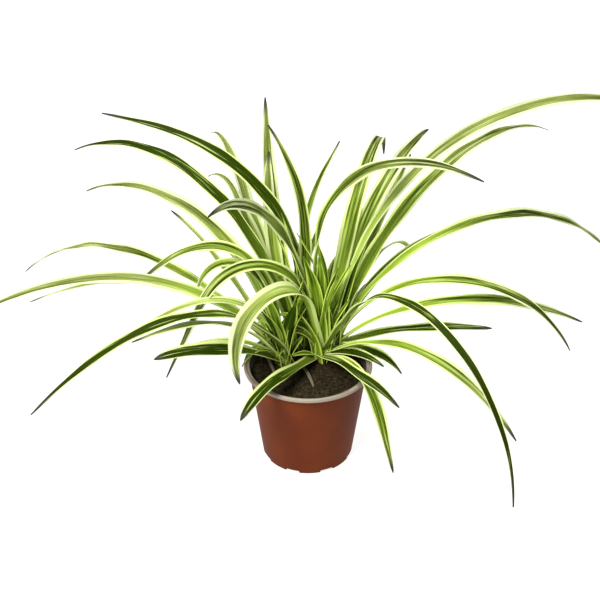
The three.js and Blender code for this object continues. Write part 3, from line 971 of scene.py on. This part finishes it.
    def grow(self, name: str, foot: Vector, leaf: Leaf | YoungLeaf,
             skins: tuple[bpy.types.Material, bpy.types.Material],
             seed: float) -> bpy.types.Object:
        """Grows one blade as a plain closed mesh.

        Args:
            name: The name of the object.
            foot: Where the midrib starts, in millimetres.
            leaf: The leaf's row.
            skins: The materials of the upper and under side.
            seed: A number of the leaf's own, for its waves and lines.

        Returns:
            The object, which isn't linked to anything else.
        """
        form = leaf.outline.value
        piece = new_object(name, bpy.data.meshes.new(name))
        grow_by_tree(piece, self.tree, {
            "Foot": foot * MM,
            "Rows": max(self.fewest_rows, round(leaf.length / self.row_step)),
            "Length": leaf.length * MM,
            "Azimuth": math.radians(leaf.azimuth),
            "Rise": math.radians(leaf.rise),
            "Fall": math.radians(leaf.fall),
            "Bend From": leaf.bend_at - leaf.bend_span / 2,
            "Bend To": leaf.bend_at + leaf.bend_span / 2,
            "Sweep": math.radians(leaf.sweep),
            "Roll": math.radians(leaf.roll),
            "Half Width": (leaf.width / 2 - self.tip_half_width) * MM,
            "Foot Share": form.foot_share,
            "Foot Fold": math.radians(form.foot_fold),
            "Taper": form.taper,
            "Wave": self.wave_share * leaf.width * MM,
            "Seed": seed,
            "Tone": leaf.tone.value,
            "Skin": skins[0],
        })
        piece.data.materials.append(skins[1])
        flesh = piece.modifiers.new("thickness", "SOLIDIFY")
        flesh.thickness = self.thickness * MM
        flesh.offset = -1
        flesh.material_offset = 1
        settle(piece)
        piece.data.set_sharp_from_angle(angle=math.radians(self.sharp_angle))
        return piece


# Pot and soil

class PotSkin(IntEnum):
    """The pot's surfaces, by the number of their material."""

    OUTSIDE = 0
    RIM = 1
    INSIDE = 2


def arc(centre: tuple[float, float], radius: float, start: float, end: float, steps: int,
        skin: int) -> list[Point]:
    """Gives the points of a rounded corner of a profile.

    Args:
        centre: Radius and height of the arc's centre.
        radius: The arc's radius.
        start: Where it starts, in degrees.
        end: Where it ends, in degrees.
        steps: How many steps it has.
        skin: The material number.

    Returns:
        Points of the profile.
    """
    angles = [math.radians(start + (end - start) * i / steps) for i in range(steps + 1)]
    return [(centre[0] + radius * math.cos(a), centre[1] + radius * math.sin(a), skin)
            for a in angles]


def turned_mesh(name: str, profile: list[Point], facets: int) -> bpy.types.Mesh:
    """Turns a profile about the upright axis into a closed mesh.

    Args:
        name: The name of the mesh.
        profile: Radius, height and material number of the ring above each point, in millimetres.
            The first and last points lie on the axis.
        facets: How many facets go round.

    Returns:
        The mesh, with outward faces.
    """
    return banded_mesh(name, [circle(radius, facets, lambda _: z) for radius, z, _ in profile],
                       [skin for _, _, skin in profile])


@dataclass
class NurseryPot:
    """The moulded pot: a thin wall, a grey collar at the rim, a round base corner, drain slots."""

    height: float = 98
    rim_radius: float = 60
    rim_height: float = 3.4
    rim_width: float = 4.6
    base_radius: float = 42.7
    base_corner: float = 2.2
    wall: float = 1.3
    rim_wall: float = 2.2
    lip_radius: float = 1.0
    lip_step: float = 0.5
    body_levels: tuple[float, ...] = (20, 40, 60, 80)
    facets: int = 192
    sharp_angle: float = 40
    drain_slots: int = 8
    drain_width: float = 13.5
    drain_height: float = 3.2
    drain_corner: float = 1.2
    drain_inner_radius: float = 33
    first_drain_angle: float = 250

    def wall_radius(self, z: float) -> float:
        """Gives the pot's outer radius at a height below its rim.

        Args:
            z: The height, in millimetres.

        Returns:
            The radius in millimetres.
        """
        under_rim = self.rim_radius - self.rim_width
        return self.base_radius + (under_rim - self.base_radius) * z / (
            self.height - self.rim_height)

    def profile(self) -> list[Point]:
        """Gives the section from the middle of the base, out and up, and back inside.

        Returns:
            Points of the profile.
        """
        outside, rim, inside = PotSkin
        low, step, top = self.base_corner, self.lip_step, self.height
        corner = self.wall_radius(low) - low
        rim_bottom = top - self.rim_height
        ledge = rim_bottom + self.wall
        inner = self.wall_radius(ledge) - self.wall
        collar = self.rim_radius - self.rim_wall
        lip = self.lip_radius
        return [
            (0, 0, outside),
            (self.drain_inner_radius / 2, 0, outside),
            *arc((corner, low), low, -90, 0, 10, outside),
            *((self.wall_radius(z), z, outside) for z in self.body_levels),
            (self.wall_radius(rim_bottom), rim_bottom, rim),
            *arc((self.rim_radius - step, rim_bottom + step), step, -90, 0, 3, rim),
            *arc((self.rim_radius - lip, top - lip), lip, 0, 90, 6, rim),
            *arc((collar + step, top - step), step, 90, 180, 4, rim),
            (collar, ledge, rim),
            # From the ledge down, the inside takes the dusty grey with its painted shade.
            *arc((inner + step, ledge - step), step, 90, 180, 4, inside),
            (self.wall_radius(low) - self.wall, low, inside),
            *arc((corner, low), low - self.wall, -30, -90, 5, inside),
            (0, self.wall, inside),
        ]

    def slots(self) -> bpy.types.Object:
        """Builds the blocks that cut the drain slots.

        Returns:
            The blocks as one object.
        """
        shape = bmesh.new()
        reach = self.rim_radius - self.drain_inner_radius
        for i in range(self.drain_slots):
            angle = math.radians(self.first_drain_angle + 360 * i / self.drain_slots)
            place = (Matrix.Rotation(angle, 4, "Z")
                     @ Matrix.Translation(((self.drain_inner_radius + reach / 2) * MM, 0, 0))
                     @ Matrix.Diagonal((reach * MM, self.drain_width * MM,
                                        2 * self.drain_height * MM, 1)))
            bmesh.ops.create_cube(shape, size=1, matrix=place)
        halfway = (reach + self.drain_width) / 2 * MM
        outward_tops = [edge for edge in shape.edges
                        if all(corner.co.z > 0 for corner in edge.verts)
                        and edge.calc_length() > halfway]
        bmesh.ops.bevel(shape, geom=outward_tops, offset=self.drain_corner * MM, segments=4,
                        profile=0.5, affect="EDGES")
        return new_object("drain_slots", finished_mesh("drain_slots", shape))

    def build(self) -> None:
        """Builds the pot and cuts its drain slots."""
        pot = new_object("pot_shell", turned_mesh("pot_shell", self.profile(), self.facets))
        for finish in (TERRACOTTA, PALE_GREY, DUSTY_SHADED_GREY):
            pot.data.materials.append(finish.build())
        cutter = self.slots()
        cut = pot.modifiers.new("drains", "BOOLEAN")
        cut.operation = "DIFFERENCE"
        cut.solver = "EXACT"
        cut.object = cutter
        settle(pot)
        bpy.data.objects.remove(cutter)
        pot.data.set_sharp_from_angle(angle=math.radians(self.sharp_angle))
        declare(pot, "pot_plastic", "pot")


@dataclass
class PeatFill:
    """The soil: a body that fills the pot, with a lumpy surface and loose crumbs on it.

    The lumps' falloff, step and octaves are those of the fractal noise, and the level power says
    how near the wall they level out. The smallest and the largest crumb are shares of the crumb
    size in three directions, and the crumbs' turn is in radians.
    """

    pot: NurseryPot
    edge_height: float = 86.5
    mound: float = 2.4
    gap: float = 0.3
    corner_rise: float = 1
    rings: int = 34
    facets: int = 128
    lump_height: float = 1.5
    lump_size: float = 11
    lump_falloff: float = 0.9
    lump_step: float = 2.1
    lump_octaves: int = 5
    level_power: int = 6
    crumb_size: float = 1.7
    crumb_detail: int = 2
    smallest_crumb: Point = (0.25, 0.25, 0.2)
    largest_crumb: Point = (1.1, 1.0, 0.7)
    crumb_turn: float = 6.283
    crumbs_per_cm2: float = 11
    least_facing_up: float = 0.4
    seed: int = 7

    def surface(self, radius: float, angle: float, edge: float) -> float:
        """Gives the height of the lumpy surface.

        Args:
            radius: Distance from the axis, in millimetres.
            angle: Direction from the axis, in radians.
            edge: The radius of the soil's edge.

        Returns:
            The height in millimetres.
        """
        share = radius / edge
        at = Vector((radius * math.cos(angle), radius * math.sin(angle), 0))
        lumps = self.lump_height * noise.fractal(
            at / self.lump_size, self.lump_falloff, self.lump_step, self.lump_octaves)
        mound = self.mound * (1 - share * share)
        return self.edge_height + mound + lumps * (1 - share ** self.level_power)

    def crumb_tree(self) -> bpy.types.NodeTree:
        """Builds the tree that strews crumbs of peat over the soil's surface.

        Whether a face looks up is read at its corners and blends across it, so the soil's long
        side faces get crumbs as well, the more the higher up. Those lie in the pot's wall.

        Returns:
            The tree, with a named input for the crumbs' density, size and seed and for the peat.
        """
        tree, given = new_tree("peat_crumbs", "Geometry", {
            "Geometry": "Geometry", "Density": "Float", "Size": "Float", "Seed": "Int",
            "Peat": "Material",
        })
        facing = add_node(tree, "ShaderNodeSeparateXYZ", {
            0: add_node(tree, "GeometryNodeInputNormal")})
        upward = add_node(tree, "FunctionNodeCompare", {
            "A": facing.outputs["Z"], "B": self.least_facing_up,
        }, data_type="FLOAT", operation="GREATER_THAN")
        points = add_node(tree, "GeometryNodeDistributePointsOnFaces", {
            "Mesh": given["Geometry"], "Selection": upward, "Density": given["Density"],
            "Seed": given["Seed"],
        })
        crumb = add_node(tree, "GeometryNodeMeshIcoSphere", {
            "Radius": given["Size"], "Subdivisions": self.crumb_detail})
        tumble = add_node(tree, "FunctionNodeRandomValue", {
            "Max": (self.crumb_turn,) * 3, "Seed": given["Seed"]}, data_type="FLOAT_VECTOR")
        size = add_node(tree, "FunctionNodeRandomValue", {
            "Min": self.smallest_crumb, "Max": self.largest_crumb, "Seed": given["Seed"],
        }, data_type="FLOAT_VECTOR")
        strewn = add_node(tree, "GeometryNodeInstanceOnPoints", {
            "Points": points, "Instance": crumb, "Rotation": tumble, "Scale": size})
        joined = add_node(tree, "GeometryNodeJoinGeometry", {0: given["Geometry"]})
        plug(tree, joined, {0: strewn})
        real = add_node(tree, "GeometryNodeRealizeInstances", {"Geometry": joined})
        dressed = add_node(tree, "GeometryNodeSetMaterial", {
            "Geometry": real, "Material": given["Peat"]})
        add_node(tree, "NodeGroupOutput", {"Geometry": dressed})
        return tree

    def build(self) -> None:
        """Builds the soil and strews its crumbs."""
        pot, corner = self.pot, self.pot.base_corner
        floor_z = pot.wall + self.gap
        shoulder = corner + self.corner_rise
        edge = pot.wall_radius(self.edge_height) - pot.wall - self.gap
        rings = [circle(radius, self.facets, lambda _: z) for radius, z in (
            (0, floor_z),
            (pot.wall_radius(corner) - corner - self.gap, floor_z),
            (pot.wall_radius(shoulder) - pot.wall - self.gap, shoulder),
            (edge, self.edge_height),
        )]
        for ring in range(self.rings - 1, -1, -1):
            radius = edge * ring / self.rings
            rings.append(circle(radius, self.facets,
                                lambda turn: self.surface(radius, turn, edge)))
        soil = new_object("peat_fill", banded_mesh("peat_fill", rings, [0] * len(rings)))
        grow_by_tree(soil, self.crumb_tree(), {
            "Density": self.crumbs_per_cm2 * CM2_PER_M2, "Size": self.crumb_size * MM,
            "Seed": self.seed, "Peat": DARK_PEAT.build(),
        })
        declare(soil, "peat", "soil")


# Plant

@dataclass
class Plant:
    """Four crowns in the soil, each a dome of clasped leaf feet with its young and long leaves.

    A spread is how far a number drawn for a sheath may be off on either side. The dome's place is
    where its skin lies on a leaf: at the midrib, close to the foot, with a light tone.
    """

    blades: BladeTree
    crown_radius: float = 9
    bulb_radius: float = 6.5
    crown_depth: float = 18
    crown_facets: int = 48
    dome_steps: int = 12
    dome_place: Point = (0.0, 0.02, 0.5)
    leaf_reach: float = 5.5
    bearing_spread: float = 12
    azimuth_spread: float = 32
    rise_spread: float = 3
    fall_less: float = 8
    fall_more: float = 6
    seed: int = 11
    largest_seed: float = 50
    draw: random.Random = field(init=False)

    def __post_init__(self) -> None:
        """Starts the random numbers at their fixed seed."""
        self.draw = random.Random(self.seed)

    def build(self) -> None:
        """Builds each crown's tuft and each long leaf as pieces of their own."""
        skins = (UPPER_SKIN.build(), UNDER_SKIN.build())
        sheath = (SHEATH_SKIN.build(),) * 2
        dry = (DRY_SKIN.build(),) * 2
        for place, centre in CROWNS.items():
            self.tuft(place, centre, sheath, dry)
            for number, leaf in enumerate(LEAVES[place], 1):
                blade = self.grow(f"blade_{place}_{number}", centre, leaf.tier.value,
                                  self.leaf_reach, leaf, skins)
                declare(blade, "variegated_leaf", f"leaf_{place}_{number}")

    def grow(self, name: str, centre: Vector, seat: float, reach: float, leaf: Leaf | YoungLeaf,
             skins: tuple[bpy.types.Material, bpy.types.Material]) -> bpy.types.Object:
        """Grows one leaf from a crown's dome.

        Args:
            name: The name of the object.
            centre: The centre of the dome, in millimetres.
            seat: The height of the leaf's foot on the dome, in degrees.
            reach: How far the foot is from the dome's centre, in millimetres.
            leaf: The leaf's row.
            skins: The materials of the upper and under side.

        Returns:
            The leaf.
        """
        up, bearing = math.radians(seat), math.radians(leaf.bearing)
        foot = centre + reach * Vector((math.cos(up) * math.cos(bearing),
                                        math.cos(up) * math.sin(bearing), math.sin(up)))
        return self.blades.grow(name, foot, leaf, skins, self.draw.uniform(0, self.largest_seed))

    def dome(self, centre: Vector, skin: bpy.types.Material) -> bpy.types.Object:
        """Builds the dome and stem of a crown, which the young leaves cover.

        Args:
            centre: The centre of the dome, in millimetres.
            skin: The material.

        Returns:
            The object.
        """
        bulb, depth = self.bulb_radius, self.crown_depth
        mesh = turned_mesh("dome", [
            (0, -depth, 0), (bulb, -depth, 0),
            *arc((0, 0), bulb, 0, 90, self.dome_steps, 0)[:-1], (0, bulb, 0),
        ], self.crown_facets)
        mesh.transform(Matrix.Translation(centre * MM))
        place = mesh.attributes.new("blade_place", "FLOAT_VECTOR", "POINT")
        size = mesh.attributes.new("blade_size", "FLOAT_VECTOR", "POINT")
        for i, vertex in enumerate(mesh.vertices):
            offset = vertex.co / MM - centre
            place.data[i].vector = self.dome_place
            size.data[i].vector = (math.atan2(offset.y, offset.x) * self.crown_radius, offset.z, 0)
        mesh.materials.append(skin)
        return new_object("dome", mesh)

    def sheath(self, clasp: Sheaths, number: int) -> YoungLeaf:
        """Draws the sizes of one sheath, which heads to the left or the right.

        Args:
            clasp: The crown's row of sheaths.
            number: Which of them it is, counted from 0.

        Returns:
            The sheath as a young leaf.
        """
        draw, ring = self.draw.uniform, SHEATH_RINGS[number % len(SHEATH_RINGS)]
        bearing = 360 * number / clasp.count + draw(-self.bearing_spread, self.bearing_spread)
        side = 0 if math.cos(math.radians(bearing)) > 0 else 180
        return YoungLeaf(
            seat=ring.seat, bearing=bearing,
            azimuth=side + draw(-self.azimuth_spread, self.azimuth_spread),
            length=clasp.length * draw(ring.shortest, ring.longest),
            rise=clasp.rise + ring.more_rise + draw(-self.rise_spread, self.rise_spread),
            fall=clasp.fall + ring.more_fall + draw(-self.fall_less, self.fall_more),
            width=clasp.width, outline=Outline.SHEATH, reach=ring.reach)

    def tuft(self, place: str, centre: Vector,
             sheath: tuple[bpy.types.Material, bpy.types.Material],
             dry: tuple[bpy.types.Material, bpy.types.Material]) -> None:
        """Builds a crown's dome with its young leaves as one piece.

        Args:
            place: The crown's name.
            centre: The centre of its dome, in millimetres.
            sheath: The materials of young leaves.
            dry: The materials of dry scraps.
        """
        parts = [self.dome(centre, sheath[0])]
        for number in range(SHEATHS[place].count):
            leaf = self.sheath(SHEATHS[place], number)
            parts.append(self.grow("sheath", centre, leaf.seat, leaf.reach, leaf, sheath))
        for leaf in YOUNG_LEAVES[place]:
            parts.append(self.grow("young", centre, leaf.seat, leaf.reach, leaf,
                                   dry if leaf.dry else sheath))
        with bpy.context.temp_override(active_object=parts[0], object=parts[0],
                                       selected_editable_objects=parts, selected_objects=parts):
            bpy.ops.object.join()
        parts[0].name = f"tuft_{place}"
        declare(parts[0], "young_growth", f"crown_{place}")


# Studio

@dataclass(frozen=True)
class Lamp:
    """One soft square lamp: its place and its side in metres, its power in watts, its tint."""

    name: str
    place: Point
    side: float
    power: float
    tint: Point = (1.0, 1.0, 1.0)


LAMPS = (
    Lamp("key", (-0.8, -1.15, 1.65), 0.7, 62, (1.0, 0.97, 0.88)),
    Lamp("fill", (1.3, -0.9, 1.1), 1.2, 6),
    Lamp("top", (0.1, 0.5, 2.0), 1.0, 30),
)


@dataclass
class Studio:
    """A pale floor, soft lamps and the camera at the photograph's viewing angle.

    The camera's sizes are millimetres, degrees and pixels. The floor and the point that the lamps
    look at are in metres.
    """

    look_at: Point = (-7.4, 0.0, 166.0)
    elevation: float = 31.1
    distance: float = 1100
    focal_px: float = 1218
    frame_px: float = 600
    sensor: float = 36
    lamps_look_at: Point = (0, 0, 0.12)
    room_light: float = 0.5
    floor_size: float = 60
    floor_colour: str = "898989"
    floor_glow: float = 0.85

    def camera(self) -> None:
        """Makes the camera."""
        data = bpy.data.cameras.new("camera")
        data.sensor_width = self.sensor
        data.lens = self.focal_px / self.frame_px * self.sensor
        camera = new_object("camera", data)
        tilt = math.radians(self.elevation)
        back = Vector((0, -math.cos(tilt), math.sin(tilt)))
        camera.location = (Vector(self.look_at) + self.distance * back) * MM
        camera.rotation_euler = (-back).to_track_quat("-Z", "Y").to_euler()
        bpy.context.scene.camera = camera

    def lamp(self, row: Lamp) -> None:
        """Makes one lamp that looks at the plant.

        Args:
            row: The lamp's row.
        """
        data = bpy.data.lights.new(row.name, "AREA")
        data.shape = "SQUARE"
        data.size = row.side
        data.energy = row.power
        data.color = row.tint
        lamp = new_object(row.name, data)
        lamp.location = row.place
        towards = Vector(self.lamps_look_at) - Vector(row.place)
        lamp.rotation_euler = towards.to_track_quat("-Z", "Y").to_euler()

    def floor(self) -> None:
        """Makes the floor."""
        shape = bmesh.new()
        bmesh.ops.create_grid(shape, x_segments=1, y_segments=1, size=self.floor_size)
        floor = new_object("floor", finished_mesh("floor", shape))
        # Cast acrylic with a white pigment, sanded matt and lit from below: an even white with no
        # shine, on which the plant's shadow stays faint.
        material, tree, shader = new_material("white_acrylic")
        plug(tree, shader, {
            "Base Color": linear(self.floor_colour), "Roughness": 0.9, "Specular IOR Level": 0.0,
            "Emission Color": (1.0, 1.0, 1.0, 1.0), "Emission Strength": self.floor_glow,
        })
        floor.data.materials.append(material)
        floor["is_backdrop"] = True

    def build(self) -> None:
        """Makes the camera, the lamps, the floor and the room's light."""
        scene = bpy.context.scene
        scene.view_settings.view_transform = "Standard"
        world = bpy.data.worlds.new("room")
        world.use_nodes = True
        tree = world.node_tree
        plug(tree, tree.nodes["Background"], {
            "Color": (1, 1, 1, 1), "Strength": self.room_light})
        scene.world = world
        self.camera()
        for row in LAMPS:
            self.lamp(row)
        self.floor()


def main() -> None:
    """Builds the studio and the plant in order."""
    logging.basicConfig(level=logging.INFO, format="%(name)s: %(message)s")
    Studio().build()
    pot = NurseryPot()
    pot.build()
    PeatFill(pot).build()
    Plant(BladeTree()).build()
    boxes = {"cad": CAD_BOX, "visual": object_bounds()}
    {name: [list(corner) for corner in box] for name, box in boxes.items()}


if __name__ == "__main__":
    main()
